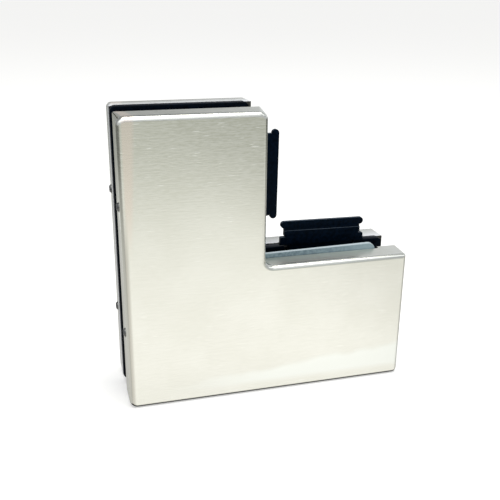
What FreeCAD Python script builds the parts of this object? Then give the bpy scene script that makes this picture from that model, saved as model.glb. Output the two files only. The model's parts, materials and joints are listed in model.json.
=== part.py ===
import FreeCAD, Part
import math
import os

from FreeCAD import Vector

# L-shaped glass clamp for an overpanel and a side panel, standing on its long lower edge.
# Millimetres. While it is being made the outer corner of the L is at x = 0, z = 0, the front
# face is at y = 0, the legs run along +X and +Z, and the rear face is at y = total_depth.

# Outline of the L
leg_length = 107.0
leg_width = 51.0
round_corner = 3.0
foot_corner = 2.0

# Folded sheet covers
sheet = 1.0
bend_radius = 1.8
cover_fit = 0.2
relief_end = 7.8
relief_gap = 0.2
relief_corner = 0.8
seam_width = 0.15

# Layers between the covers
body_depth = 7.8
gasket_depth = 1.6
packing_depth = 3.65
glass_depth = 8.0
glass_play = 0.15

# Cast clamp bodies
rim_width = 3.0
web_depth = 2.8
rib_width = 2.0
boss_radius = 8.0
cast_corner = 1.2
cast_edge = 1.0
lug_width = 9.0
lug_reach = 7.5

# Clamp screws, countersunk with a hexagon socket, and their sleeves
shank_radius = 3.0
head_radius = 6.0
head_sunk = 0.3
screw_end_gap = 2.3
socket_width = 4.0
socket_depth = 2.6
clearance_radius = 3.3
thread_fit = 0.05
seat_fit = 0.03
sleeve_wall = 1.8
sleeve_fit = 0.15
sleeve_end_fit = 0.2

# Gaskets and packing plate
gasket_inset = 1.3
gasket_corner = 2.0
hole_fit = 0.4
front_gasket_inset = 3.3
front_gasket_turn = 0.9
lip_height = 1.25
lip_setback = 1.05
lip_corner = 3.0
packing_inset = 0.9
packing_left = 0.9
packing_up = 1.25

# Moulded T-headed inserts, one on each inner edge
bar_start = 11.25
bar_setback = 10.65
bar_height = 2.75
bar_top = 9.7
bar_depth = 1.35
neck_setback = 1.4
neck_step_top = 6.0
base_overhang = 0.05
base_top = 3.5
base_flare = 0.4
flare_top = 1.5
base_bottom = 0.4
base_corner = 0.5
notch_depth = 0.45
notch_height = 0.6
step_front = 0.5
root_mouth_setback = 4.05
root_foot_setback = 1.05
root_shoulder = 4.0
root_bottom = 8.0
root_fit = 0.1
lower_insert_turn = 0.95
lower_insert_up = 0.35
side_insert_turn = 0.55
side_insert_up = 0.8

# Small set screws that lock the covers through their left flanges
lock_low = 29.2
lock_high = 76.0
lock_from_face = 4.6
lock_radius = 1.5
lock_proud = 0.7
lock_chamfer = 0.4
lock_length = 7.0
lock_socket_width = 1.5
lock_socket_depth = 1.0
lock_fit = 0.35

# Sizes that follow from the ones above
body_face = sheet + cover_fit
front_body_back = body_face + body_depth
cover_depth = front_body_back + gasket_depth
packing_face = cover_depth + glass_depth + glass_play
packing_back = packing_face + packing_depth
total_depth = packing_back + cover_depth
rear_body_face = total_depth - front_body_back
corner_centre = leg_width / 2
leg_centre = (leg_width + leg_length) / 2
screw_places = [(corner_centre, corner_centre), (leg_centre, corner_centre), (corner_centre, leg_centre)]
head_face = body_face + head_sunk
screw_end = total_depth - body_face - screw_end_gap
sleeve_radius = shank_radius + sleeve_fit + sleeve_wall
bar_length = leg_length - bar_setback - leg_width - bar_start
insert_centre = leg_width + bar_start + bar_length / 2
packing_play = max(packing_left, packing_up)
middle = Vector(0, total_depth / 2, 0)
along_depth = Vector(0, 1, 0)
outline_radii = [round_corner, foot_corner, 0, round_corner, 0, 0]
inner_corner_index = 3


def on_layer(y):
    """Places outline points (x, z) on the plane at depth y."""
    return lambda x, z: Vector(x, y, z)


def on_level(z):
    """Places outline points (x, y) on the plane at height z."""
    return lambda x, y: Vector(x, y, z)


def rounded_wire(points, radii, place):
    """Closed outline through the points, with an arc of its own radius at each corner."""
    edges = []
    starts, ends = [], []
    count = len(points)
    for i in range(count):
        here = Vector(*points[i])
        back = Vector(*points[i - 1]) - here
        ahead = Vector(*points[(i + 1) % count]) - here
        back.normalize()
        ahead.normalize()
        half = back.getAngle(ahead) / 2
        reach = radii[i] / math.tan(half)
        first = here + back * reach
        last = here + ahead * reach
        starts.append(first)
        ends.append(last)
        if radii[i] > 0:
            inward = (back + ahead).normalize()
            crest = here + inward * (radii[i] / math.sin(half) - radii[i])
            arc = [place(p.x, p.y) for p in (first, crest, last)]
            edges.append((i, Part.Arc(*arc).toShape()))
    arcs = dict(edges)
    ordered = []
    for i in range(count):
        if i in arcs:
            ordered.append(arcs[i])
        ahead = (i + 1) % count
        line = Part.LineSegment(place(ends[i].x, ends[i].y), place(starts[ahead].x, starts[ahead].y))
        ordered.append(line.toShape())
    return Part.Wire(ordered)


def l_points(inset):
    """Corners of the L outline, moved inwards by the inset, from the outer corner round."""
    near = inset
    far = leg_length - inset
    bend = leg_width - inset
    return [(near, near, 0), (far, near, 0), (far, bend, 0), (bend, bend, 0), (bend, far, 0), (near, far, 0)]


def l_radii(inset, least):
    """Corner radii at that inset: outer corners shrink and the inner corner grows."""
    radii = []
    for i, radius in enumerate(outline_radii):
        moved = radius + inset if i == inner_corner_index else radius - inset
        radii.append(max(moved, least))
    return radii


def l_plate(inset, y_from, y_to, least=0.0):
    """L-shaped plate between two depths."""
    wire = rounded_wire(l_points(inset), l_radii(inset, least), on_layer(y_from))
    return Part.Face(wire).extrude(Vector(0, y_to - y_from, 0))


def edges_at(shape, y):
    """Edges that lie wholly at depth y."""
    return [e for e in shape.Edges if abs(e.BoundBox.YMin - y) < 1e-6 and abs(e.BoundBox.YMax - y) < 1e-6]


def cylinder(radius, y_from, y_to, x, z):
    """Round bar along Y."""
    return Part.makeCylinder(radius, y_to - y_from, Vector(x, y_from, z), along_depth)


def block(x_from, x_to, y_from, y_to, z_from, z_to):
    """Box between the given limits."""
    return Part.makeBox(x_to - x_from, y_to - y_from, z_to - z_from, Vector(x_from, y_from, z_from))


def cross_bar(radius, x_from, x_to, z):
    """Round bar along X on a lock screw's line."""
    return Part.makeCylinder(radius, x_to - x_from, Vector(x_from, lock_from_face, z), Vector(1, 0, 0))


def swap_legs(shape):
    """The same shape on the other leg: reflected in the diagonal of the L."""
    return shape.mirror(Vector(0, 0, 0), Vector(1, 0, -1))


def to_rear(shape):
    """The same shape on the rear half: reflected in the middle plane."""
    return shape.mirror(middle, along_depth)


def hexagon(width, y_from, y_to, x, z):
    """Hexagonal bar along Y, measured across its flats."""
    reach = width / math.sqrt(3)
    corners = []
    for i in range(6):
        turn = math.radians(60 * i)
        corners.append(Vector(x + reach * math.cos(turn), y_from, z + reach * math.sin(turn)))
    face = Part.Face(Part.makePolygon(corners + corners[:1]))
    return face.extrude(Vector(0, y_to - y_from, 0))


def seam_cut(x, z, turn):
    """Open seam through the flanges at a sharp corner, turned from the line of the lower leg."""
    reach = 4 * sheet
    cut = block(-reach, reach, bend_radius, cover_depth + sheet, -seam_width / 2, seam_width / 2)
    cut.rotate(Vector(0, 0, 0), along_depth, turn)
    cut.translate(Vector(x, 0, z))
    return cut


def flange_relief():
    """Strip cut from the free edge of the lower leg's inner flange, with a rounded inner end."""
    start = leg_width - round_corner - sheet
    end = leg_length - relief_end
    low = cover_depth - gasket_depth - relief_gap
    high = cover_depth + sheet
    points = [(start, low, 0), (end, low, 0), (end, high, 0), (start, high, 0)]
    wire = rounded_wire(points, [0, relief_corner, 0, 0], on_level(leg_width - sheet - cover_fit))
    return Part.Face(wire).extrude(Vector(0, 0, sheet + 2 * cover_fit + round_corner))


def front_cover():
    """Tray folded from sheet: an L-shaped face with a flange along every edge."""
    outer = l_plate(0, 0, cover_depth)
    outer = outer.makeFillet(bend_radius, edges_at(outer, 0))
    inner = l_plate(sheet, sheet, cover_depth + sheet)
    inner_bevel = (2 - math.sqrt(2)) * (bend_radius - sheet)
    inner = inner.makeChamfer(inner_bevel, edges_at(inner, sheet))
    cover = outer.cut(inner)
    relief = flange_relief()
    cuts = [relief, swap_legs(relief), seam_cut(0, leg_length, 45)]
    cuts += [seam_cut(leg_length, leg_width, -45), seam_cut(leg_width, leg_length, -45)]
    for z in (lock_low, lock_high):
        cuts.append(cross_bar(lock_radius + lock_fit, -sheet, 2 * sheet, z))
    for cut in cuts:
        cover = cover.cut(cut)
    return cover


def clamp_casting():
    """Front casting: L plate with a rim, ribs and bosses on the cover side, flat on the glass side."""
    casting = l_plate(body_face, body_face, front_body_back, cast_corner)
    casting = casting.makeChamfer(cast_edge, edges_at(casting, body_face))
    floor = front_body_back - web_depth
    points = l_points(body_face + rim_width)
    wire = rounded_wire(points, [0] * len(points), on_layer(0))
    pocket = Part.Face(wire).extrude(Vector(0, floor, 0))
    islands = []
    for x, z in screw_places:
        islands.append(cylinder(boss_radius, body_face, floor, x, z))
        half = rib_width / 2
        if z == corner_centre:
            islands.append(block(x - half, x + half, body_face, floor, body_face, leg_width - body_face))
        if x == corner_centre:
            islands.append(block(body_face, leg_width - body_face, body_face, floor, z - half, z + half))
    spine = (body_face, leg_length - body_face, body_face, floor)
    half = rib_width / 2
    islands.append(block(*spine, corner_centre - half, corner_centre + half))
    islands.append(swap_legs(islands[-1]))
    for z in (lock_low, lock_high):
        lug = block(body_face, body_face + lug_reach, body_face, floor, z - lug_width / 2, z + lug_width / 2)
        islands.append(lug)
    for island in islands:
        pocket = pocket.cut(island)
    casting = casting.cut(pocket)
    for z in (lock_low, lock_high):
        casting = casting.cut(cross_bar(lock_radius + thread_fit, 0, body_face + lug_reach + sheet, z))
    return casting


def screw_profile(widening, top, bottom):
    """Half section of a countersunk screw, or of its countersink when widened and started higher."""
    head = head_radius + widening + head_face - top
    shank = shank_radius + widening
    return [(0, top), (head, top), (shank, top + head - shank), (shank, bottom), (0, bottom)]


def turned(points, x, z):
    """Solid of revolution about the line along Y through (x, z), from radius and depth points."""
    corners = [Vector(x + radius, y, z) for radius, y in points]
    face = Part.Face(Part.makePolygon(corners + corners[:1]))
    return face.revolve(Vector(x, 0, z), along_depth, 360)


def front_clamp_body():
    """Front casting with a countersunk clearance hole through each boss."""
    body = clamp_casting()
    for x, z in screw_places:
        sink = turned(screw_profile(seat_fit, sheet, front_body_back), x, z)
        hole = cylinder(clearance_radius, 0, front_body_back + 1, x, z)
        body = body.cut(sink.fuse(hole))
    return body


def rear_clamp_body():
    """Rear casting with a tapped hole through each boss."""
    body = to_rear(clamp_casting())
    for x, z in screw_places:
        hole = cylinder(shank_radius + thread_fit, rear_body_face - 1, total_depth, x, z)
        body = body.cut(hole)
    return body


def clamp_screw(x, z):
    """Countersunk screw with a hexagon socket."""
    screw = turned(screw_profile(0, head_face, screw_end), x, z)
    return screw.cut(hexagon(socket_width, head_face - 1, head_face + socket_depth, x, z))


def screw_sleeve(x, z):
    """Plastic tube on the screw between the two castings, with the glass outside it."""
    start = front_body_back + sleeve_end_fit
    end = rear_body_face - sleeve_end_fit
    tube = cylinder(sleeve_radius, start, end, x, z)
    return tube.cut(cylinder(shank_radius + sleeve_fit, start - 1, end + 1, x, z))


def lying(shape, x, z, turn, right, up):
    """Shape turned clockwise, as seen from the front, about the line along Y through (x, z), then moved."""
    moved = shape.copy()
    moved.rotate(Vector(x, 0, z), along_depth, turn)
    moved.translate(Vector(right, 0, up))
    return moved


def windowed(plate, half):
    """Plate with a square window round each sleeve."""
    for x, z in screw_places:
        plate = plate.cut(block(x - half, x + half, 0, total_depth, z - half, z + half))
    return plate


def front_gasket():
    """Soft gasket with a lip above each inner edge, lying slightly turned about the corner screw."""
    y_from, y_to = front_body_back, cover_depth
    gasket = l_plate(front_gasket_inset, y_from, y_to, gasket_corner)
    start = leg_width - round_corner - lip_corner
    end = leg_length - relief_end - lip_setback
    low = leg_width - 3 * lip_corner
    high = leg_width + lip_height
    points = [(start, low, 0), (end, low, 0), (end, high, 0), (start, high, 0)]
    wire = rounded_wire(points, [0, 0, lip_corner, 0], on_layer(y_from))
    lip = Part.Face(wire).extrude(Vector(0, y_to - y_from, 0))
    gasket = gasket.fuse([lip, swap_legs(lip)]).removeSplitter()
    turn = math.radians(front_gasket_turn)
    swing = math.sin(turn) * (leg_centre - corner_centre)
    gasket = windowed(gasket, sleeve_radius + hole_fit + swing)
    return lying(gasket, corner_centre, corner_centre, -front_gasket_turn, 0, 0)


def rear_gasket():
    """Soft gasket between the rear casting and the packing plate."""
    gasket = l_plate(gasket_inset, packing_back, rear_body_face, gasket_corner)
    return windowed(gasket, sleeve_radius + hole_fit)


def insert_root(widening):
    """T-shaped foot of an insert, or its notch in the packing plate when widened."""
    half_mouth = bar_length / 2 - root_mouth_setback + widening
    half_foot = bar_length / 2 - root_foot_setback + widening
    shoulder = leg_width - root_shoulder + widening
    bottom = leg_width - root_bottom - widening
    top = leg_width + base_bottom + 2 * widening
    points = [(-half_foot, bottom), (half_foot, bottom), (half_foot, shoulder), (half_mouth, shoulder),
              (half_mouth, top), (-half_mouth, top), (-half_mouth, shoulder), (-half_foot, shoulder)]
    corners = [(insert_centre + x, z, 0) for x, z in points]
    wire = rounded_wire(corners, [0] * len(corners), on_layer(packing_face))
    return Part.Face(wire).extrude(Vector(0, packing_depth, 0))


def packing_plate():
    """Stiff plate that takes up the slot beside thin glass, pushed up and to the left in its play."""
    plate = l_plate(packing_inset, packing_face, packing_back, gasket_corner)
    plate = windowed(plate, sleeve_radius + hole_fit + packing_play)
    notch = insert_root(packing_play + root_fit)
    plate = plate.cut(notch).cut(swap_legs(notch))
    return lying(plate, 0, 0, 0, -packing_left, packing_up)


def slab(length, w_from, w_to, y_from, y_to, radii):
    """Flat bar along the leg, centred on the insert, between two heights above the inner edge."""
    left = insert_centre - length / 2
    right = insert_centre + length / 2
    low, high = leg_width + w_from, leg_width + w_to
    points = [(left, low, 0), (right, low, 0), (right, high, 0), (left, high, 0)]
    wire = rounded_wire(points, radii, on_layer(y_from))
    return Part.Face(wire).extrude(Vector(0, y_to - y_from, 0))


def moulded_insert():
    """Insert on the lower leg: round-ended bar on a stepped neck and base, with a foot in the packing."""
    step_face = packing_face - step_front
    bar_back = packing_face + bar_depth
    bar_end = bar_height / 2 - 0.001
    neck_length = bar_length - 2 * neck_setback
    bar = slab(bar_length, bar_top - bar_height, bar_top, packing_face, bar_back, [bar_end] * 4)
    thin_neck = slab(neck_length, base_top, bar_top - bar_height / 2, packing_face, bar_back, [0] * 4)
    thick_neck = slab(neck_length, base_top - base_corner, neck_step_top, step_face, bar_back, [0] * 4)
    half = bar_length / 2 + base_overhang
    corners = [(half + base_flare, base_bottom), (half, flare_top), (half, base_top)]
    outline = [(insert_centre + u, leg_width + w, 0) for u, w in corners]
    outline += [(insert_centre - u, leg_width + w, 0) for u, w in reversed(corners)]
    radii = [0, 0, base_corner, base_corner, 0, 0]
    base_wire = rounded_wire(outline, radii, on_layer(step_face))
    base = Part.Face(base_wire).extrude(Vector(0, bar_back - step_face, 0))
    insert = bar.fuse([thin_neck, thick_neck, base, insert_root(0)]).removeSplitter()
    low, high = leg_width + base_top, leg_width + base_top + notch_height
    for side in (-1, 1):
        edge = insert_centre + side * neck_length / 2
        notch = block(edge - notch_depth, edge + notch_depth, step_face, bar_back, low, high)
        insert = insert.cut(notch)
    return insert


def lower_insert():
    """Insert on the lower leg, lying slightly out of true in its play."""
    return lying(moulded_insert(), insert_centre, leg_width, lower_insert_turn, 0, lower_insert_up)


def side_insert():
    """The same insert on the side leg, with its own lie."""
    insert = swap_legs(moulded_insert())
    return lying(insert, leg_width, insert_centre, side_insert_turn, 0, side_insert_up)


def lock_screw(z):
    """Set screw through the front cover's left flange, proud of it, with a chamfer and a socket."""
    screw = cross_bar(lock_radius, -lock_proud, lock_length - lock_proud, z)
    rim = [e for e in screw.Edges if abs(e.BoundBox.XMax + lock_proud) < 1e-6]
    screw = screw.makeChamfer(lock_chamfer, rim)
    socket = hexagon(lock_socket_width, -lock_proud - 1, lock_socket_depth - lock_proud, 0, 0)
    socket.rotate(Vector(0, 0, 0), Vector(0, 0, 1), -90)
    socket.translate(Vector(0, lock_from_face, z))
    return screw.cut(socket)


def all_parts():
    """Every sub-part by node name, in the making frame."""
    cover = front_cover()
    parts = {
        "front_cover": cover,
        "rear_cover": to_rear(cover),
        "front_clamp_body": front_clamp_body(),
        "rear_clamp_body": rear_clamp_body(),
        "front_gasket": front_gasket(),
        "rear_gasket": rear_gasket(),
        "packing_plate": packing_plate(),
        "lower_insert": lower_insert(),
        "side_insert": side_insert(),
    }
    parts["clamp_screws"] = Part.makeCompound([clamp_screw(x, z) for x, z in screw_places])
    for i, (x, z) in enumerate(screw_places, start=1):
        parts[f"screw_sleeve_{i}"] = screw_sleeve(x, z)
    locks = [lock_screw(z) for z in (lock_low, lock_high)]
    parts["cover_screws"] = Part.makeCompound(locks + [to_rear(s) for s in locks])
    return parts


def main():
    """Moves the origin under the centre of the box round the whole part, and writes the files."""
    os.makedirs("parts", exist_ok=True)
    shift = Vector((lock_proud - leg_length) / 2, -total_depth / 2, 0)
    for node, shape in all_parts().items():
        shape.translate(shift)
        shape.exportStep(f"parts/{node}.step")
        box = shape.BoundBox
        print(f"{node:18s} {len(shape.Solids):2d} solids  {shape.Volume:9.1f} mm3  valid {shape.isValid()}"
              f"  {box.XLength:6.2f} x {box.YLength:5.2f} x {box.ZLength:6.2f}")


main()
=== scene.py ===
import json
import math

import bmesh
import bpy
import numpy as np
from mathutils import Matrix, Vector


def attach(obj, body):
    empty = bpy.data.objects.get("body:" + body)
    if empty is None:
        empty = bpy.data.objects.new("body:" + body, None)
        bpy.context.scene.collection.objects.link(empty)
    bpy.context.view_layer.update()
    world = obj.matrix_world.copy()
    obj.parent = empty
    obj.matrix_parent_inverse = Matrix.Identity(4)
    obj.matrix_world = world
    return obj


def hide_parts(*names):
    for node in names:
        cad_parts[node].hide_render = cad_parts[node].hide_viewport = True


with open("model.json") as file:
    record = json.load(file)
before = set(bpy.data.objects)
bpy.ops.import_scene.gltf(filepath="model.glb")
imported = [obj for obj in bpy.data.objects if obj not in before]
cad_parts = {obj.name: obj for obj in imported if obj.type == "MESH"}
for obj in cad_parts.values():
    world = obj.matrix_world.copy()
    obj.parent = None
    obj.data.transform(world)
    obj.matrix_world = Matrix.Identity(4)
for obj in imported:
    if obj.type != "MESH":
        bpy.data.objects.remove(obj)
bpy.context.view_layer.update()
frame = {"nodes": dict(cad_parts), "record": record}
nodes = frame["nodes"]
slotOf = {part["node"]: part["material_slot"] for part in frame["record"]["subparts"]}
mm = 0.001
white = "#FFFFFF"
mergeReach, slimReach = 1e-6, 1e-7  # metres


def hexColour(text):
    # sRGB hex to linear red, green and blue, with full alpha
    parts = [int(text[i:i + 2], 16) / 255 for i in (1, 3, 5)]
    return [c / 12.92 if c <= 0.04045 else ((c + 0.055) / 1.055) ** 2.4 for c in parts] + [1.0]


def addNode(tree, kind, settings=None, links=None):
    # adds one shader node; settings name attributes or sockets, links feed its sockets
    node = tree.nodes.new(kind)
    for name, value in (settings or {}).items():
        if isinstance(name, str) and hasattr(node, name):
            setattr(node, name, value)
        else:
            node.inputs[name].default_value = value
    for name, source in (links or {}).items():
        tree.links.new(source, node.inputs[name])
    return node


def region(tree, *limits):
    # how far a point belongs to a region: the product of one smooth step for each limit, which runs
    # from nothing at its first value to all at its second
    whole = None
    for measure, none, full in limits:
        step = addNode(tree, "ShaderNodeMapRange", {
            "interpolation_type": "SMOOTHSTEP", "From Min": none, "From Max": full},
            {"Value": measure}).outputs["Result"]
        whole = step if whole is None else addNode(
            tree, "ShaderNodeMath", {"operation": "MULTIPLY"}, {0: whole, 1: step}).outputs[0]
    return whole


def newMaterial(name):
    material = bpy.data.materials.new(name)
    material.use_nodes = True
    material.node_tree.nodes.clear()
    return material, material.node_tree


def gridFaces(rows, columns, flip=False):
    # four-sided faces between the points of a grid that closes round its columns
    row, column = np.meshgrid(np.arange(rows - 1), np.arange(columns), indexing="ij")
    after = (column + 1) % columns
    faces = np.stack([row * columns + column, row * columns + after, (row + 1) * columns + after,
                      (row + 1) * columns + column], axis=-1).reshape(-1, 4)
    return faces[:, ::-1] if flip else faces


def addPiece(name, points, faces, flat=None, marks=None):
    # one object from whole arrays of points and faces, with its unfolded map and its attributes
    mesh = bpy.data.meshes.new(name)
    mesh.from_pydata(points.reshape(-1, 3).tolist(), [], faces.tolist())
    if flat is not None:
        corners = np.empty(len(mesh.loops), dtype=np.int32)
        mesh.loops.foreach_get("vertex_index", corners)
        unfolded = mesh.uv_layers.new(name="unfolded")
        unfolded.uv.foreach_set("vector", flat.reshape(-1, 2)[corners].ravel())
    for mark, values in (marks or {}).items():
        mesh.attributes.new(mark, "FLOAT", "POINT").data.foreach_set("value", values.ravel())
    mesh.update()
    piece = bpy.data.objects.new(name, mesh)
    bpy.context.scene.collection.objects.link(piece)
    return piece


def shadeSmooth(mesh, sharpAngle):
    # smooth all over but at edges that turn by more than the angle, in degrees
    mesh.polygons.foreach_set("use_smooth", np.ones(len(mesh.polygons), dtype=bool))
    mesh.set_sharp_from_angle(angle=math.radians(sharpAngle))


def closeSeams(mesh, outwards=False):
    # merges the points that meet at seams and poles, and turns the faces outwards where asked
    work = bmesh.new()
    work.from_mesh(mesh)
    bmesh.ops.remove_doubles(work, verts=work.verts, dist=mergeReach)
    bmesh.ops.dissolve_degenerate(work, dist=slimReach, edges=work.edges)
    if outwards:
        bmesh.ops.recalc_face_normals(work, faces=work.faces)
    work.to_mesh(mesh)
    work.free()


def applyModifiers(piece):
    depsgraph = bpy.context.evaluated_depsgraph_get()
    mesh = bpy.data.meshes.new_from_object(piece.evaluated_get(depsgraph))
    piece.modifiers.clear()
    piece.data = mesh


def handOver(piece, replaced):
    # the finished piece stands for one CAD node, with that node's finish
    piece.data.materials.clear()
    piece.data.materials.append(finishes[slotOf[replaced]])
    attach(piece, "root")
    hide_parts(replaced)


# the photograph's camera, in the part's frame
cameraValues = {
    "place": (-76.06, -252.3, 148.72),  # mm
    "azimuth": 16.02, "elevation": -20.25, "roll": 0.64,  # degrees
    "lens": 53.1, "sensor": 36.0, "nearest": 10.0,  # mm
}


def makeCamera():
    azimuth, elevation, roll = (
        math.radians(cameraValues[name]) for name in ("azimuth", "elevation", "roll"))
    ahead = Vector((math.sin(azimuth) * math.cos(elevation),
                    math.cos(azimuth) * math.cos(elevation), math.sin(elevation)))
    level = Vector((math.cos(azimuth), -math.sin(azimuth), 0))
    above = level.cross(ahead)
    right = level * math.cos(roll) + above * math.sin(roll)
    up = above * math.cos(roll) - level * math.sin(roll)
    data = bpy.data.cameras.new("camera")
    data.lens = cameraValues["lens"]
    data.sensor_width = cameraValues["sensor"]
    data.clip_start = cameraValues["nearest"] * mm
    camera = bpy.data.objects.new("camera", data)
    turn = Matrix((right, up, -ahead)).transposed().to_4x4()
    camera.matrix_world = Matrix.Translation(Vector(cameraValues["place"]) * mm) @ turn
    bpy.context.scene.collection.objects.link(camera)
    bpy.context.scene.camera = camera
    bpy.context.scene.view_settings.view_transform = "Standard"
    print("camera set")


makeCamera()

table = {
    "size": 40.0, "colour": "#F4F4F2",  # metres, as all lengths here
    "lift": 0.36,  # added white, which the camera alone sees
    "foot": (0.0535, 0.0165, 0.0),  # half the object's foot
    "leastReach": (0.0, 0.0001, 0.0),  # gives the ground under the object a direction too
    # the table as it shows in metal, near the foot and far from it
    "nearReach": 0.02, "farReach": 0.5,
    "nearTones": {"side": 0.62, "back": 1.0, "front": 1.1},
    "farTones": {"side": 0.15, "back": 0.44, "front": 0.575},
    "nearColour": white, "farColour": "#FBFFF9",
    # where the back and the front begin: a way, and shares of a direction along it or along y
    "backWay": (-0.24, 0.97, 0.0), "backTurn": (0.9, 0.985), "frontTurn": (0.4, 0.93),
    # where the front also reaches round to the right: across, in depth, and as such a share
    "rightAcross": (0.02, 0.07), "rightDepth": (0.02, -0.02), "rightTurn": (0.2, 0.6),
    # shades: beside the object, the dark line where it touches, and far right
    "footShade": 0.945, "footReach": 0.03, "contactShade": 0.03, "contactReach": 0.0009,
    "farRightShade": 0.84, "farRight": (0.11, 0.03),
}


def makeTable():
    # pale table with a faint shadow, white to the camera; metal shows it bright in front, darker at
    # the sides, and greyer with distance
    half = table["size"] / 2
    mesh = bpy.data.meshes.new("floor")
    mesh.from_pydata([(-half, -half, 0), (half, -half, 0), (half, half, 0), (-half, half, 0)], [],
                     [(0, 1, 2, 3)])
    floor = bpy.data.objects.new("floor", mesh)
    bpy.context.scene.collection.objects.link(floor)
    material, tree = newMaterial("paleTable")
    coords = addNode(tree, "ShaderNodeTexCoord").outputs["Object"]
    place = addNode(tree, "ShaderNodeSeparateXYZ", None, {0: coords}).outputs
    # reach is the distance from the object's foot, and spread how squarely a point lies in front of
    # the foot or behind it
    size = addNode(tree, "ShaderNodeVectorMath", {"operation": "ABSOLUTE"}, {0: coords}).outputs[0]
    beyond = addNode(tree, "ShaderNodeVectorMath", {"operation": "SUBTRACT", 1: table["foot"]},
                     {0: size}).outputs[0]
    outside = addNode(tree, "ShaderNodeVectorMath", {
        "operation": "MAXIMUM", 1: table["leastReach"]}, {0: beyond}).outputs[0]
    sides = addNode(tree, "ShaderNodeSeparateXYZ", None, {0: outside}).outputs
    reach = addNode(tree, "ShaderNodeMath", {"operation": "MAXIMUM"},
                    {0: sides["X"], 1: sides["Y"]}).outputs[0]
    away = addNode(tree, "ShaderNodeVectorMath", {"operation": "NORMALIZE"},
                   {0: outside}).outputs[0]
    spread = addNode(tree, "ShaderNodeSeparateXYZ", None, {0: away}).outputs["Y"]
    frontHalf = addNode(tree, "ShaderNodeMath", {"operation": "LESS_THAN", 1: 0.0},
                        {0: place["Y"]}).outputs[0]
    ahead = addNode(tree, "ShaderNodeMath", {"operation": "MULTIPLY"},
                    {0: region(tree, (spread, *table["frontTurn"])), 1: frontHalf}).outputs[0]
    right = region(tree, (place["X"], *table["rightAcross"]), (place["Y"], *table["rightDepth"]),
                   (spread, *table["rightTurn"]))
    front = addNode(tree, "ShaderNodeMath", {"operation": "MAXIMUM"},
                    {0: ahead, 1: right}).outputs[0]
    heading = addNode(tree, "ShaderNodeVectorMath", {"operation": "NORMALIZE"},
                      {0: coords}).outputs[0]
    along = addNode(tree, "ShaderNodeVectorMath", {"operation": "DOT_PRODUCT", 1: table["backWay"]},
                    {0: heading}).outputs["Value"]
    back = region(tree, (along, *table["backTurn"]))
    far = region(tree, (reach, table["nearReach"], table["farReach"]))
    tones = {}
    for side in ("side", "back", "front"):
        tones[side] = addNode(tree, "ShaderNodeMix", {
            2: table["nearTones"][side], 3: table["farTones"][side]}, {0: far}).outputs[0]
    shine = tones["side"]
    for side, share in (("back", back), ("front", front)):
        shine = addNode(tree, "ShaderNodeMix", None,
                        {0: share, 2: shine, 3: tones[side]}).outputs[0]
    for measure, none, full, shade in (
            (reach, 0.0, table["footReach"], table["footShade"]),
            (reach, 0.0, table["contactReach"], table["contactShade"]),
            (place["X"], *table["farRight"], table["farRightShade"])):
        kept = addNode(tree, "ShaderNodeMix", {2: shade, 3: 1.0},
                       {0: region(tree, (measure, none, full))}).outputs[0]
        shine = addNode(tree, "ShaderNodeMath", {"operation": "MULTIPLY"},
                        {0: shine, 1: kept}).outputs[0]
    colour = addNode(tree, "ShaderNodeMix", {
        "data_type": "RGBA", 6: hexColour(table["nearColour"]), 7: hexColour(table["farColour"])},
        {0: far}).outputs[2]
    rays = addNode(tree, "ShaderNodeLightPath").outputs
    lift = addNode(tree, "ShaderNodeMath", {"operation": "MULTIPLY", 1: table["lift"]},
                   {0: rays["Is Camera Ray"]}).outputs[0]
    diffuse = addNode(tree, "ShaderNodeBsdfDiffuse", {"Color": hexColour(table["colour"])})
    lifted = addNode(tree, "ShaderNodeEmission", {"Color": hexColour(white)}, {"Strength": lift})
    plain = addNode(tree, "ShaderNodeAddShader", None,
                    {0: diffuse.outputs[0], 1: lifted.outputs[0]})
    mirrored = addNode(tree, "ShaderNodeEmission", None, {"Color": colour, "Strength": shine})
    seen = addNode(tree, "ShaderNodeMixShader", None,
                   {0: rays["Is Glossy Ray"], 1: plain.outputs[0], 2: mirrored.outputs[0]})
    addNode(tree, "ShaderNodeOutputMaterial", None, {"Surface": seen.outputs[0]})
    mesh.materials.append(material)


room = {
    "light": 0.6,  # plain light on the object
    "colour": "#F1F6FF",  # as it shows in metal, with the tones below
    # tones at the left and at the right, and between which shares of a direction along x, y or z
    # one turns into the other
    "backTones": (0.33, 0.78), "backTurn": (0.12, 0.45),
    "backFade": 0.6, "backFadeHeights": (0.4, 0.9),
    "frontTones": (0.85, 0.4), "frontTurn": (0.33, 0.46),
    "horizonTone": 0.6, "horizonHeights": (0.2, 0.3),
    "halves": (-0.15, 0.15),  # from the front half to the back one
    # the ceiling's front edge is drawn back to the right, and comes forward again far right
    "ceilingTone": 1.4, "ceilingHeights": (0.36, 0.5), "ceilingDepths": (-0.16, -0.3),
    "drawnBack": 0.26, "drawnFrom": (0.12, 0.34), "drawnTo": (0.62, 0.5),
}


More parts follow.
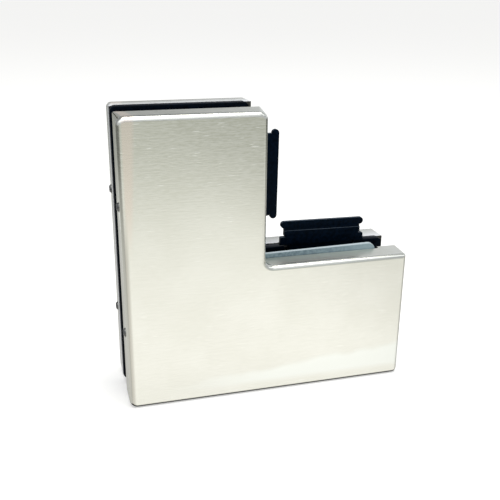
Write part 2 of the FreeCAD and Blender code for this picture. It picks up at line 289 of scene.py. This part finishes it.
def makeWorld():
    # white room: plain light for the object, white to the camera, and in metal a grey horizon that
    # turns paler to the right behind and darker to the right in front, under a bright ceiling
    world = bpy.data.worlds.new("studio")
    bpy.context.scene.world = world
    world.use_nodes = True
    tree = world.node_tree
    tree.nodes.clear()
    rays = addNode(tree, "ShaderNodeLightPath").outputs
    direction = addNode(tree, "ShaderNodeTexCoord").outputs["Generated"]
    ways = addNode(tree, "ShaderNodeSeparateXYZ", None, {0: direction}).outputs
    tones = {}
    for half in ("back", "front"):
        left, right = room[half + "Tones"]
        tones[half] = addNode(tree, "ShaderNodeMix", {2: left, 3: right},
                              {0: region(tree, (ways["X"], *room[half + "Turn"]))}).outputs[0]
    fade = addNode(tree, "ShaderNodeMix", {2: 1.0, 3: room["backFade"]},
                   {0: region(tree, (ways["Z"], *room["backFadeHeights"]))}).outputs[0]
    back = addNode(tree, "ShaderNodeMath", {"operation": "MULTIPLY"},
                   {0: tones["back"], 1: fade}).outputs[0]
    front = addNode(tree, "ShaderNodeMix", {2: room["horizonTone"]}, {
        0: region(tree, (ways["Z"], *room["horizonHeights"])), 3: tones["front"]}).outputs[0]
    walls = addNode(tree, "ShaderNodeMix", None, {
        0: region(tree, (ways["Y"], *room["halves"])), 2: front, 3: back}).outputs[0]
    drawn = region(tree, (ways["X"], *room["drawnFrom"]), (ways["X"], *room["drawnTo"]))
    height = addNode(tree, "ShaderNodeMath", {"operation": "MULTIPLY_ADD", 1: -room["drawnBack"]},
                     {0: drawn, 2: ways["Z"]}).outputs[0]
    ceiling = region(tree, (height, *room["ceilingHeights"]), (ways["Y"], *room["ceilingDepths"]))
    bright = addNode(tree, "ShaderNodeMix", {3: room["ceilingTone"]},
                     {0: ceiling, 2: walls}).outputs[0]
    lighting = addNode(tree, "ShaderNodeBackground",
                       {"Color": hexColour(white), "Strength": room["light"]})
    mirrored = addNode(tree, "ShaderNodeBackground", {"Color": hexColour(room["colour"])},
                       {"Strength": bright})
    plain = addNode(tree, "ShaderNodeBackground", {"Color": hexColour(white), "Strength": 1.0})
    shown = addNode(tree, "ShaderNodeMixShader", None,
                    {0: rays["Is Glossy Ray"], 1: lighting.outputs[0], 2: mirrored.outputs[0]})
    shown = addNode(tree, "ShaderNodeMixShader", None,
                    {0: rays["Is Camera Ray"], 1: shown.outputs[0], 2: plain.outputs[0]})
    addNode(tree, "ShaderNodeOutputWorld", None, {"Surface": shown.outputs[0]})


topLamp = {  # watts and metres
    "power": 4.0, "size": 0.7, "place": (0.05, -0.1, 0.9), "aim": (0.0, 0.0, 0.05),
}


def makeLamp():
    data = bpy.data.lights.new("topLamp", "AREA")
    data.energy = topLamp["power"]
    data.shape = "DISK"
    data.size = topLamp["size"]
    lamp = bpy.data.objects.new("topLamp", data)
    direction = Vector(topLamp["aim"]) - Vector(topLamp["place"])
    turn = direction.to_track_quat("-Z", "Y").to_matrix().to_4x4()
    lamp.matrix_world = Matrix.Translation(topLamp["place"]) @ turn
    bpy.context.scene.collection.objects.link(lamp)


makeTable()
makeWorld()
makeLamp()
print("table, room and lamp set")

# the folded covers' sizes in mm, as in the part's source; they stand before the finishes because
# the steel's tones lie beside the bend
cover = {
    "leg": 107.0, "width": 51.0, "depth": 10.6, "overall": 33.0,
    "sheet": 1.0, "bend": 1.8, "roundCorner": 3.0, "footCorner": 2.0,
    # folded corners of the lower leg's end, then the side leg's right and left one: radius beside
    # the face, radius at the free edge, whether the seam stays open
    "foldedCorners": ((1.2, 0.4, 1.0), (3.0, 0.6, 0.0), (3.0, 0.6, 1.0)),
    "rearCorners": ((0.7, 0.3, 1.0), (1.2, 0.15, 0.0), (1.8, 0.2, 1.0)),
    "seamTurn": 10.0, "seamDepth": 0.6,  # half its width in degrees round the corner, and its depth
    "leastRadius": 0.05,  # kept inside a corner, so that no row folds back
    "reliefEnd": 99.2, "reliefDepth": 8.8, "reliefCorner": 0.8,  # the inner flanges' step
    "edge": 0.13,  # rounding of the free edge
    "sharpFrom": 35.0,  # degrees
    "unfoldedFlange": 8.0, "unfoldedEdge": 0.8,  # lengths in the unfolded map
    "lockHeights": (29.2, 76.0), "lockFromFace": 4.6, "lockHole": 1.85,  # the set screws' holes
    "cutterStart": -1.0, "cutterLength": 3.0, "cutterSides": 48,
    "shift": (-53.15, -16.5, 0.0),  # from the sheet's lower left corner to the part's frame
}

# stainless sheet, brushed after folding: short lines along one leg, a few bright scratches, soft
# cloudy patches from the rolling, and dull sheared edges; over these lie a painted reflection,
# painted shade on a fold and in the open seams, and painted light on the rear cover's flanges;
# lengths in mm
stainlessFinish = {
    # among these colours: the sweep is a painted reflection and the fold's grey painted shade; the
    # rear cover's flanges are tinted white, painted light, and made rougher; cut tints the sheared
    # edges darker for their duller metal and the open seams darker as painted shade
    "colours": {"dark": "#EAE9DC", "light": "#F3F2E7", "scratch": "#FFFFF6", "sweep": "#F6F8EF",
                "band": "#F9EFE1", "fold": "#C9C6BA", "dullAndPaintedLight": "#FFFFFF", "cut": "#7A7972"},
    # length, width and detail of the lines; real ones are finer, and these are wide enough to show
    "lines": {"grain": (2.8, 0.46, 1.0), "streak": (14.0, 0.7, 0.0), "scratch": (4.0, 0.4, 0.0)},
    "lineBreaks": 0.6, "scratchLimits": (0.74, 0.84),
    "streakShare": 0.25, "cloudShare": 0.35, "toneLimits": (0.34, 0.64),
    "cloudSize": 22.2, "cloudDetail": 2.0,
    "fadeHeights": (55.0, 115.0), "fadeStrengths": (0.4, 2.0),  # the brushing's, from foot to top
    "sweepTop": 6.0, "sweepSlope": 0.07, "sweepWave": 6.0,
    "bandStart": 25.0, "bandSlope": 0.045,
    # a paler, cooler sweep low on the sheet, which widens to the right, is a painted reflection of
    # the table; a warm band beside the left fold narrows downwards; and below it a grey band on the
    # fold's own edge is painted shade
    "regions": {
        "sweep": (("underSweep", -1.3, 1.6), ("up", 2.8, 6.0), ("across", 6.0, 60.0)),
        "band": (("inBand", -0.8, 0.8), ("pastBend", -0.6, 0.2), ("up", 55.0, 80.0)),
        # painted shade: a grey band on the lower part of the left fold's bend
        "fold": (("pastBend", 0.7, -0.5), ("pastBend", -1.4, -0.8), ("up", 80.0, 55.0)),
    },
    "roughness": (0.15, 0.25), "flangeStart": 0.1,
    "addedRoughness": {"cut": 0.3, "flange": 0.2, "dullAndPaintedLight": 0.35, "band": 0.08},
    "scratchHeight": 0.6, "bumpStrength": 0.36, "bumpHeight": 0.03,
}


def stainlessMaterial():
    values = stainlessFinish
    material, tree = newMaterial("brushedStainless")
    sheet = addNode(tree, "ShaderNodeUVMap", {"uv_map": "unfolded"}).outputs[0]
    place = addNode(tree, "ShaderNodeSeparateXYZ", None, {0: sheet}).outputs
    marks = {mark: addNode(tree, "ShaderNodeAttribute", {"attribute_name": mark}).outputs["Fac"]
             for mark in ("cut", "dullAndPaintedLight", "down")}
    lines = {}
    for name, (length, width, detail) in values["lines"].items():
        scaled = addNode(tree, "ShaderNodeMapping", {
            "Scale": (1 / (length * mm), 1 / (width * mm), 1.0)}, {"Vector": sheet}).outputs[0]
        lines[name] = addNode(tree, "ShaderNodeTexNoise", {
            "Scale": 1.0, "Detail": detail, "Roughness": values["lineBreaks"]},
            {"Vector": scaled}).outputs["Fac"]
    cloud = addNode(tree, "ShaderNodeTexNoise", {
        "Scale": 1 / (values["cloudSize"] * mm), "Detail": values["cloudDetail"]},
        {"Vector": sheet}).outputs["Fac"]
    # the brushing is strongest at the top and almost worn away at the foot; the noise's middle is 0.5
    worn, fresh = values["fadeStrengths"]
    foot, top = values["fadeHeights"]
    fade = addNode(tree, "ShaderNodeMix", {2: worn, 3: fresh},
                   {0: region(tree, (place["Y"], foot * mm, top * mm))}).outputs[0]
    grain = addNode(tree, "ShaderNodeMix", {0: values["streakShare"]},
                    {2: lines["grain"], 3: lines["streak"]}).outputs[0]
    grain = addNode(tree, "ShaderNodeMath", {"operation": "SUBTRACT", 1: 0.5},
                    {0: grain}).outputs[0]
    grain = addNode(tree, "ShaderNodeMath", {"operation": "MULTIPLY_ADD", 2: 0.5},
                    {0: grain, 1: fade}).outputs[0]
    scratch = addNode(tree, "ShaderNodeMath", {"operation": "MULTIPLY"}, {
        0: region(tree, (lines["scratch"], *values["scratchLimits"])), 1: fade}).outputs[0]

    # measures for the regions, in metres: the sweep's top edge is a line that the clouds move up
    # and down, and the band's right edge a line that meets the bend at its start
    wave = addNode(tree, "ShaderNodeMapRange", {
        "interpolation_type": "SMOOTHSTEP", "To Min": -values["sweepWave"] / 2 * mm,
        "To Max": values["sweepWave"] / 2 * mm}, {"Value": cloud}).outputs["Result"]
    measures = {"across": place["X"], "up": place["Y"]}
    measures["pastBend"] = addNode(tree, "ShaderNodeMath", {
        "operation": "SUBTRACT", 1: cover["bend"] * mm}, {0: place["X"]}).outputs[0]
    edges = {}
    for name, along, slope, start in (
            ("underSweep", "across", values["sweepSlope"], values["sweepTop"]),
            ("inBand", "up", values["bandSlope"], -values["bandSlope"] * values["bandStart"])):
        edges[name] = addNode(tree, "ShaderNodeMath", {
            "operation": "MULTIPLY_ADD", 1: slope, 2: start * mm}, {0: measures[along]}).outputs[0]
    edges["underSweep"] = addNode(tree, "ShaderNodeMath", {"operation": "ADD"},
                                  {0: edges["underSweep"], 1: wave}).outputs[0]
    for name, measure in (("underSweep", "up"), ("inBand", "pastBend")):
        measures[name] = addNode(tree, "ShaderNodeMath", {"operation": "SUBTRACT"},
                                 {0: edges[name], 1: measures[measure]}).outputs[0]
    shares = {"scratch": scratch, "dullAndPaintedLight": marks["dullAndPaintedLight"], "cut": marks["cut"],
              "flange": region(tree, (marks["down"], 0.0, values["flangeStart"]))}
    for name, limits in values["regions"].items():
        shares[name] = region(tree, *((measures[measure], none * mm, full * mm)
                                      for measure, none, full in limits))

    colours = {name: hexColour(colour) for name, colour in values["colours"].items()}
    tone = addNode(tree, "ShaderNodeMix", {0: values["cloudShare"]},
                   {2: grain, 3: cloud}).outputs[0]
    tint = addNode(tree, "ShaderNodeMix", {
        "data_type": "RGBA", 6: colours["dark"], 7: colours["light"]},
        {0: region(tree, (tone, *values["toneLimits"]))}).outputs[2]
    # tints over the grain: the sweep is a painted reflection, the fold's grey painted shade, the rear
    # flanges' white painted light, and the cut colour darker sheared edges with painted shade in the
    # open seams
    for name in ("scratch", "sweep", "band", "fold", "dullAndPaintedLight", "cut"):
        tint = addNode(tree, "ShaderNodeMix", {"data_type": "RGBA", 7: colours[name]},
                       {0: shares[name], 6: tint}).outputs[2]
    least, most = values["roughness"]
    rough = addNode(tree, "ShaderNodeMapRange", {"To Min": least, "To Max": most},
                    {"Value": grain}).outputs[0]
    for name, added in values["addedRoughness"].items():
        rough = addNode(tree, "ShaderNodeMath", {"operation": "MULTIPLY_ADD", 1: added},
                        {0: shares[name], 2: rough}).outputs[0]
    height = addNode(tree, "ShaderNodeMath", {
        "operation": "MULTIPLY_ADD", 1: values["scratchHeight"]}, {0: scratch, 2: grain}).outputs[0]
    bump = addNode(tree, "ShaderNodeBump", {
        "Strength": values["bumpStrength"], "Distance": values["bumpHeight"] * mm},
        {"Height": height})
    shader = addNode(tree, "ShaderNodeBsdfPrincipled", {"Metallic": 1.0},
                     {"Base Color": tint, "Roughness": rough, "Normal": bump.outputs[0]})
    addNode(tree, "ShaderNodeOutputMaterial", None, {"Surface": shader.outputs[0]})
    return material


# the other finishes: grain size and bump height in mm
grainedFinishes = {
    # pressed fibre rubber: matt blue grey, with painted light towards its free end and on its cut
    # edge where it looks up
    "greyGasketRubber": {"dark": "#627680", "light": "#7F949C", "grain": 0.9, "roughness": 0.7,
                         "bump": 0.03, "top": "#C2D0D5", "end": "#93A8B0"},
    # black sheet rubber: matt, with a faint wide highlight
    "blackGasketRubber": {"dark": "#050608", "light": "#0C0D0F", "grain": 0.9, "roughness": 0.6,
                          "bump": 0.03, "specular": 0.25},
    # moulded nylon: satin black with a cold tinge, almost no reflection face on
    "blackMouldedNylon": {"dark": "#00040C", "light": "#030E1B", "grain": 1.2, "roughness": 0.36,
                          "bump": 0.02, "specular": 0.05},
    # the same nylon, with a painted highlight on the inserts' ledges and other faces that look up
    "blackInsertNylon": {"dark": "#000812", "light": "#041222", "grain": 1.2, "roughness": 0.36,
                         "bump": 0.02, "specular": 0.035, "top": "#424C57"},
    # cast metal under a black coat: a coarse skin that scatters its highlights
    "blackCoatedCasting": {"dark": "#0C0D0E", "light": "#161719", "grain": 2.0, "roughness": 0.5,
                           "bump": 0.06, "specular": 0.3},
    # zinc-plated steel: bright, even and slightly blue
    "zincPlatedSteel": {"dark": "#B9BCC2", "light": "#D0D2D6", "grain": 0.9, "roughness": 0.25,
                        "bump": 0.01, "metallic": 1.0},
    # plain steel set screws, dulled by handling
    "plainScrewSteel": {"dark": "#6F6F6D", "light": "#8F8F8C", "grain": 0.9, "roughness": 0.32,
                        "bump": 0.01, "metallic": 1.0},
}
grainLooks = {
    "detail": 3.0, "toneLimits": (0.3, 0.7), "roughnessSpread": 0.06, "bumpStrength": 0.3,
    "endPlaces": (15.0, 50.0),  # mm along the lower leg
    "upwardTurn": (0.2, 0.8),  # a normal's share along z
}


def grainedMaterial(name, dark, light, grain, roughness, bump, metallic=0.0, specular=0.5, top=None,
                    end=None):
    # two close tones in a fine grain, with a slight bump; an end colour paints light towards the
    # lower leg's free end, and a top colour paints light on the faces that look up
    material, tree = newMaterial(name)
    coords = addNode(tree, "ShaderNodeTexCoord").outputs
    noise = addNode(tree, "ShaderNodeTexNoise", {
        "Scale": 1 / (grain * mm), "Detail": grainLooks["detail"]},
        {"Vector": coords["Object"]}).outputs["Fac"]
    tone = addNode(tree, "ShaderNodeMix", {
        "data_type": "RGBA", 6: hexColour(dark), 7: hexColour(light)},
        {0: region(tree, (noise, *grainLooks["toneLimits"]))}).outputs[2]
    # the end and top colours are painted light
    for colour, vector, way, limits in (
            (end, "Object", "X", [place * mm for place in grainLooks["endPlaces"]]),
            (top, "Normal", "Z", grainLooks["upwardTurn"])):
        if colour:
            ways = addNode(tree, "ShaderNodeSeparateXYZ", None, {0: coords[vector]}).outputs
            tone = addNode(tree, "ShaderNodeMix", {"data_type": "RGBA", 7: hexColour(colour)},
                           {0: region(tree, (ways[way], *limits)), 6: tone}).outputs[2]
    spread = grainLooks["roughnessSpread"]
    rough = addNode(tree, "ShaderNodeMapRange", {
        "To Min": roughness - spread, "To Max": roughness + spread}, {"Value": noise}).outputs[0]
    relief = addNode(tree, "ShaderNodeBump", {
        "Strength": grainLooks["bumpStrength"], "Distance": bump * mm}, {"Height": noise})
    shader = addNode(tree, "ShaderNodeBsdfPrincipled", {
        "Metallic": metallic, "Specular IOR Level": specular},
        {"Base Color": tone, "Roughness": rough, "Normal": relief.outputs[0]})
    addNode(tree, "ShaderNodeOutputMaterial", None, {"Surface": shader.outputs[0]})
    return material


materials = {"brushedStainless": stainlessMaterial()}
for finishName, finishValues in grainedFinishes.items():
    materials[finishName] = grainedMaterial(finishName, **finishValues)
finishes = {slot: materials[finishName] for slot, finishName in (
    ("brushed_stainless", "brushedStainless"), ("grey_gasket", "greyGasketRubber"),
    ("black_gasket", "blackGasketRubber"), ("black_plate", "blackMouldedNylon"),
    ("black_insert", "blackInsertNylon"), ("black_sleeve", "blackMouldedNylon"),
    ("black_casting", "blackCoatedCasting"), ("zinc_screw", "zincPlatedSteel"),
    ("stainless_screw", "plainScrewSteel"))}
for nodeName, node in nodes.items():
    node.data.materials.clear()
    node.data.materials.append(finishes[slotOf[nodeName]])
print("materials set")


def coverOutline(corners):
    # Columns round the L: arcs at its corners and chosen places on its straight runs. A column is
    # its place (x, z) on the outer line, or the corner that its arc rounds; its outward direction;
    # its corner's outward diagonal; its place on the legs' centre line; the arc's radius beside the
    # face and at the free edge, less than nothing at the inner corner; its seam share; its flange's
    # depth. The inner flanges step back over almost no width and a small arc.
    leg, width, full, short = (cover[name] for name in ("leg", "width", "depth", "reliefDepth"))
    middle, radius, foot = width / 2, cover["roundCorner"], cover["footCorner"]
    innerHalf = 13  # columns along half of the inner corner's arc
    inner = np.linspace(middle, width + radius, innerHalf)
    run = np.linspace(width + radius, leg - middle, 5)
    turn = np.radians(np.linspace(90, 0, 7))
    stepWidth = 0.01  # mm
    step = cover["reliefEnd"] + np.concatenate([
        [stepWidth], cover["reliefCorner"] * (np.sin(turn) - 1)])
    drop = np.concatenate([[full], short + cover["reliefCorner"] * (1 - np.cos(turn))])
    blocks = []

    def add(point, outward, diagonal, centre, radii, seam=0.0, depth=full):
        block = np.zeros((max(len(np.atleast_2d(point)), len(np.atleast_2d(outward))), 12))
        block[:, 0:2], block[:, 2:4], block[:, 4:6] = point, outward, diagonal
        block[:, 6:8], block[:, 8:10], block[:, 10], block[:, 11] = centre, radii, seam, depth
        blocks.append(block)

    def line(x, z):
        return np.column_stack(np.broadcast_arrays(np.atleast_1d(x), z))

    def straight(points, outward, centre, depth=full):
        add(points, outward, outward, centre, (0, 0), 0.0, depth)

    def arc(x, z, angles, radii, centre, seam=0.0, depth=full):
        angle = np.radians(angles)
        way = np.column_stack([np.cos(angle), np.sin(angle)])
        ends = way[[0, -1]].sum(axis=0)
        add((x, z), way, np.round(ends), centre, radii, seam, depth)

    def folded(x, z, start, centre, corner):
        seamTurn = cover["seamTurn"]
        turns = np.array([0, 15, 30, 45 - seamTurn, 45, 45 + seamTurn, 60, 75, 90])
        arc(x, z, start + turns, corner[:2], centre, (turns == 45) * corner[2])

    arc(0, 0, np.linspace(180, 270, 13), (radius, radius), (middle, middle))
    along = np.concatenate([inner, run[1:]])
    straight(line(along, 0), (0, -1), line(along, middle))
    arc(leg, 0, np.linspace(270, 360, 11), (foot, foot), (leg - middle, middle))
    folded(leg, width, 0, (leg - middle, middle), corners[0])
    straight(line(step, width), (0, 1), (leg - middle, middle), drop)
    straight(line(run[::-1], width), (0, 1), line(run[::-1], middle), short)
    arc(width, width, np.linspace(90, 0, 2 * innerHalf - 1), (-radius, -radius),
        np.concatenate([line(inner[::-1], middle), line(middle, inner[1:])]), 0.0, short)
    straight(line(width, run), (1, 0), line(middle, run), short)
    straight(line(width, step[::-1]), (1, 0), (middle, leg - middle), drop[::-1])
    folded(width, leg, 0, (middle, leg - middle), corners[1])
    folded(0, leg, 90, (middle, leg - middle), corners[2])
    along = np.concatenate([run[::-1], inner[-2::-1]])
    straight(line(0, along), (-1, 0), line(middle, along))
    return np.concatenate(blocks)


def coverProfile():
    # Rows across the sheet, from the middle of the face round the bend, down the flange, round its
    # free edge and back along the inner side. A row is its share of the way out to the bend, its
    # inset from the outline, its depth as a constant and a share of the flange's depth, its seam
    # share, its unfolded length past the bend, how far it is folded, and how much it belongs to the
    # cut edge.
    bend, sheet, edge = cover["bend"], cover["sheet"], cover["edge"]
    arcLength, flange = bend * np.pi / 2, cover["unfoldedFlange"]
    edgeLength = arcLength + flange + cover["unfoldedEdge"]
    inner = bend - sheet
    rows = []

    def row(share=1, inset=0, depth=0, depthShare=0, seam=0, length=0, down=0, cut=0):
        rows.append((share, inset, depth, depthShare, seam, length, down, cut))

    for share in (0, 0.5, 0.9, 0.99, 0.996):
        row(share=share, inset=bend)
    for angle in np.radians(np.linspace(0, 90, 13)):
        row(inset=bend * (1 - np.sin(angle)), depth=bend * (1 - np.cos(angle)), length=bend * angle)
    for down in (0.01, 0.02, 0.2, 0.4, 0.6, 0.8, 0.97, 0.99, 1):
        row(depth=bend * (1 - down) - edge * down, depthShare=down, seam=float(down > 0.01),
            length=arcLength + down * flange, down=down)
    for angle in np.radians((30, 60, 90)):
        row(inset=edge * (1 - np.cos(angle)), depth=-edge * (1 - np.sin(angle)), depthShare=1,
            seam=1, length=edgeLength, down=1, cut=float(angle > np.radians(45)))
    for angle in np.radians((90, 60, 30, 0)):
        row(inset=sheet - edge * (1 - np.cos(angle)), depth=-edge * (1 - np.sin(angle)),
            depthShare=1, length=edgeLength, down=1, cut=1)
    for down in (0.97, 0.5, 0.03, 0):
        row(inset=sheet, depth=bend * (1 - down) - edge * down, depthShare=down,
            length=arcLength + down * flange, down=down)
    for angle in np.radians((67.5, 45, 22.5, 0)):
        row(inset=bend - inner * np.sin(angle), depth=bend - inner * np.cos(angle),
            length=bend * angle)
    for share in (0.99, 0.5, 0):
        row(share=share, inset=bend, depth=sheet)
    return np.array(rows, dtype=float)


def lockHoleCutter(height, fromFace):
    # a cylinder along x: each point of its profile, a distance and a radius, stands at the start
    # plus the distance along x, minus radius times the sine of its angle along y, plus radius times
    # the cosine of it up
    reach, hole = cover["cutterLength"] * mm, cover["lockHole"] * mm
    distance, radius = np.array([(0, 0), (0, hole), (reach, hole), (reach, 0)]).T[:, :, None]
    angle = np.linspace(0, 2 * np.pi, cover["cutterSides"], endpoint=False)
    start = (np.array((cover["cutterStart"], fromFace, height)) + cover["shift"]) * mm
    points = start + np.stack(np.broadcast_arrays(
        distance, -radius * np.sin(angle), radius * np.cos(angle)), axis=-1)
    cutter = addPiece("holeCutter", points, gridFaces(*points.shape[:2]))
    closeSeams(cutter.data, outwards=True)
    shadeSmooth(cutter.data, cover["sharpFrom"])
    return cutter


def coverPiece(nodeName, rear):
    # A point lies inward of its column's place by its row's inset and its share of the seam's
    # groove. On an arc it lies on the arc whose radius runs from the one beside the face to the one
    # at the free edge.
    outline = coverOutline(cover["rearCorners" if rear else "foldedCorners"])
    profile = coverProfile()
    base, outward, diagonal, centre = (outline[:, i:i + 2] for i in (0, 2, 4, 6))
    faceRadius, edgeRadius, seam, full = (outline[:, i] for i in (8, 9, 10, 11))
    share, inset, depth, depthShare, seamShare, length, down, cut = profile.T[:, :, None]

    def placed(inset, down, groove=0.0):
        radius = faceRadius + (edgeRadius - faceRadius) * down
        radius = np.where(radius > 0, np.maximum(radius, inset + cover["leastRadius"]), radius)
        inward = (inset + groove)[:, :, None]
        return base + radius[:, :, None] * (outward - diagonal) - inward * outward

    foldLine = placed(np.full_like(inset, cover["bend"]), np.zeros_like(down), np.zeros_like(seam))
    point = placed(inset, down, seamShare * seam * cover["seamDepth"])
    point = np.where(share[:, :, None] < 1, centre + share[:, :, None] * (foldLine - centre), point)
    flat = centre + share[:, :, None] * (foldLine + length[:, :, None] * outward - centre)
    y = depth + depthShare * full
    y = cover["overall"] - y if rear else y
    place = np.stack([point[:, :, 0], y, point[:, :, 1]], axis=-1) + cover["shift"]
    # cut marks the sheared edges and the open seams; in the seams its darker tint is painted shade
    marks = {"cut": np.maximum(cut, seamShare * seam), "down": np.broadcast_to(down, y.shape),
             # the rear cover's flanges are marked for a white tint, painted light, and for added
             # roughness
             "dullAndPaintedLight": np.broadcast_to(down * float(rear), y.shape)}
    faces = gridFaces(*y.shape, flip=not rear)
    piece = addPiece(nodeName + "_sheet", place * mm, faces, flat * mm, marks)
    closeSeams(piece.data)
    shadeSmooth(piece.data, cover["sharpFrom"])
    fromFace = cover["overall"] - cover["lockFromFace"] if rear else cover["lockFromFace"]
    cutters = [lockHoleCutter(height, fromFace) for height in cover["lockHeights"]]
    for cutter in cutters:
        lockHole = piece.modifiers.new("lockHole", "BOOLEAN")
        lockHole.object = cutter
        lockHole.operation = "DIFFERENCE"
        lockHole.solver = "EXACT"
    applyModifiers(piece)
    for cutter in cutters:
        bpy.data.objects.remove(cutter)
    shadeSmooth(piece.data, cover["sharpFrom"])
    handOver(piece, nodeName)


coverPiece("front_cover", False)
coverPiece("rear_cover", True)
print("covers folded")

softened = {
    "rounding": {  # mm
        "front_gasket": 0.3, "rear_gasket": 0.12, "packing_plate": 0.2, "lower_insert": 0.16,
        "side_insert": 0.16,
    },
    "flatWithin": 0.5, "roundedFrom": 30.0, "sharpFrom": 40.0,  # degrees
    "segments": 2,
}


def softenedCopy(nodeName, size):
    # the CAD solid's own shape, with every true edge rounded as moulding and cutting leave it
    mesh = nodes[nodeName].data.copy()
    work = bmesh.new()
    work.from_mesh(mesh)
    bmesh.ops.remove_doubles(work, verts=work.verts, dist=mergeReach)
    bmesh.ops.dissolve_limit(work, angle_limit=math.radians(softened["flatWithin"]),
                             verts=work.verts, edges=work.edges)
    work.to_mesh(mesh)
    work.free()
    piece = bpy.data.objects.new(nodeName + "_moulding", mesh)
    bpy.context.scene.collection.objects.link(piece)
    rounding = piece.modifiers.new("rounding", "BEVEL")
    rounding.width = size * mm
    rounding.segments = softened["segments"]
    rounding.limit_method = "ANGLE"
    rounding.angle_limit = math.radians(softened["roundedFrom"])
    applyModifiers(piece)
    shadeSmooth(piece.data, softened["sharpFrom"])
    handOver(piece, nodeName)


for nodeName, size in softened["rounding"].items():
    softenedCopy(nodeName, size)
print("gaskets, packing and inserts rounded")
